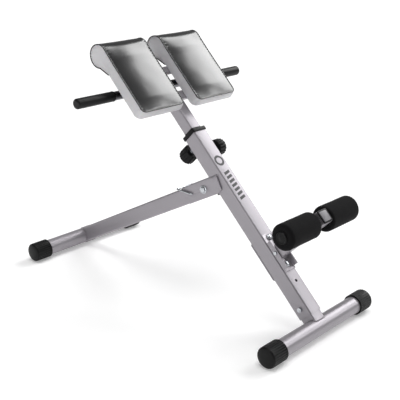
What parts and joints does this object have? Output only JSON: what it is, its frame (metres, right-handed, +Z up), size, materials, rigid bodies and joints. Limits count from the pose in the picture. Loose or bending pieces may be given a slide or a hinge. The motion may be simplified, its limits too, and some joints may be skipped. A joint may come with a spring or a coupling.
{
  "type": "roman chair",
  "caption": "Slanted back extension bench with hip pads on a height-adjustable post, side handles, foam ankle rollers and a folding front leg.",
  "frame": {"origin": "on the floor, midway between the two cross tubes, under the bench's middle plane", "axes": "+X towards the user's left along the cross tubes, +Y from the front leg's foot towards the ankle rollers and the rear foot, +Z up"},
  "size_m": [0.6612, 1.0279, 0.7447],
  "materials": {
    "silver_paint": "silver grey powder coat, satin",
    "dark_chrome": "plated steel tube",
    "zinc": "bright zinc plate",
    "spring_steel": "bare spring steel",
    "black_plastic": "moulded black plastic",
    "black_rubber": "smooth black rubber",
    "roller_foam": "black closed-cell foam",
    "pad_vinyl": "black vinyl top with white vinyl sides over foam",
    "plywood": "plywood"
  },
  "bodies": {
    "frame": {"main_post": "silver_paint", "post_collar": "black_plastic", "rear_stub": "silver_paint", "stub_bolt": "zinc", "stub_nut": "zinc", "fold_bumper": "black_rubber", "rear_cross_tube": "silver_paint", "rear_cap_left": "black_plastic", "rear_cap_right": "black_plastic", "roller_carrier": "silver_paint", "backing_plate": "silver_paint", "lower_carrier_bolt": "zinc", "upper_carrier_bolt": "zinc", "lower_carrier_nut": "zinc", "upper_carrier_nut": "zinc", "roller_arm": "silver_paint", "arm_plug": "black_plastic", "arm_bolt": "zinc", "arm_nut": "zinc", "roller_axle": "dark_chrome", "leg_bracket": "silver_paint", "pivot_bolt": "zinc", "pivot_nut": "zinc", "pin_barrel": "zinc", "pin_spring": "spring_steel", "clamp_boss": "zinc"},
    "leg": {"front_leg": "silver_paint", "leg_plug": "black_plastic", "front_cross_tube": "silver_paint", "front_cap_left": "black_plastic", "front_cap_right": "black_plastic", "pivot_washer_left": "zinc", "pivot_washer_right": "zinc"},
    "lock": {"lock_wire": "zinc"},
    "slider": {"sliding_tube": "silver_paint", "tube_top_plug": "black_plastic", "tube_guide": "black_plastic", "handlebar": "dark_chrome", "grip_left": "black_rubber", "grip_right": "black_rubber", "upper_channel": "silver_paint", "lower_channel": "silver_paint", "pad_board_left": "plywood", "pad_board_right": "plywood", "pad_left": "pad_vinyl", "pad_right": "pad_vinyl", "upper_pad_screw_left": "zinc", "upper_pad_screw_right": "zinc", "lower_pad_screw_left": "zinc", "lower_pad_screw_right": "zinc"},
    "pin": {"pull_pin": "zinc", "pull_knob": "black_plastic"},
    "clamp": {"clamp_stud": "zinc", "clamp_knob": "black_plastic"},
    "roller_left": {"foam_roller_left": "roller_foam", "roller_hub_left": "black_plastic"},
    "roller_right": {"foam_roller_right": "roller_foam", "roller_hub_right": "black_plastic"}
  },
  "joints": [
    {"name": "leg_fold", "type": "hinge", "parent": "frame", "child": "leg", "pos_m": [0, 0.08479, 0.33498], "axis": [1, 0, 0], "range_deg": [0, 105]},
    {"name": "lock_swing", "type": "hinge", "parent": "frame", "child": "lock", "pos_m": [0, 0.04072, 0.31135], "axis": [-1, 0, 0], "range_deg": [0, 110]},
    {"name": "height_slide", "type": "slide", "parent": "frame", "child": "slider", "axis": [0, -0.712, 0.7022], "range_m": [-0.06, 0.1]},
    {"name": "pin_pull", "type": "slide", "parent": "frame", "child": "pin", "axis": [0, -0.7022, -0.712], "range_m": [0, 0.01], "stiffness_N_per_m": 600, "springref_m": -0.015},
    {"name": "clamp_turn", "type": "hinge", "parent": "frame", "child": "clamp", "pos_m": [-0.05, 0.06675, 0.44146], "axis": [-1, 0, 0], "continuous": true},
    {"name": "roller_turn_left", "type": "hinge", "parent": "frame", "child": "roller_left", "pos_m": [0.088, 0.46134, 0.32832], "axis": [1, 0, 0], "continuous": true},
    {"name": "roller_turn_right", "type": "hinge", "parent": "frame", "child": "roller_right", "pos_m": [-0.088, 0.46134, 0.32832], "axis": [1, 0, 0], "continuous": true}
  ]
}
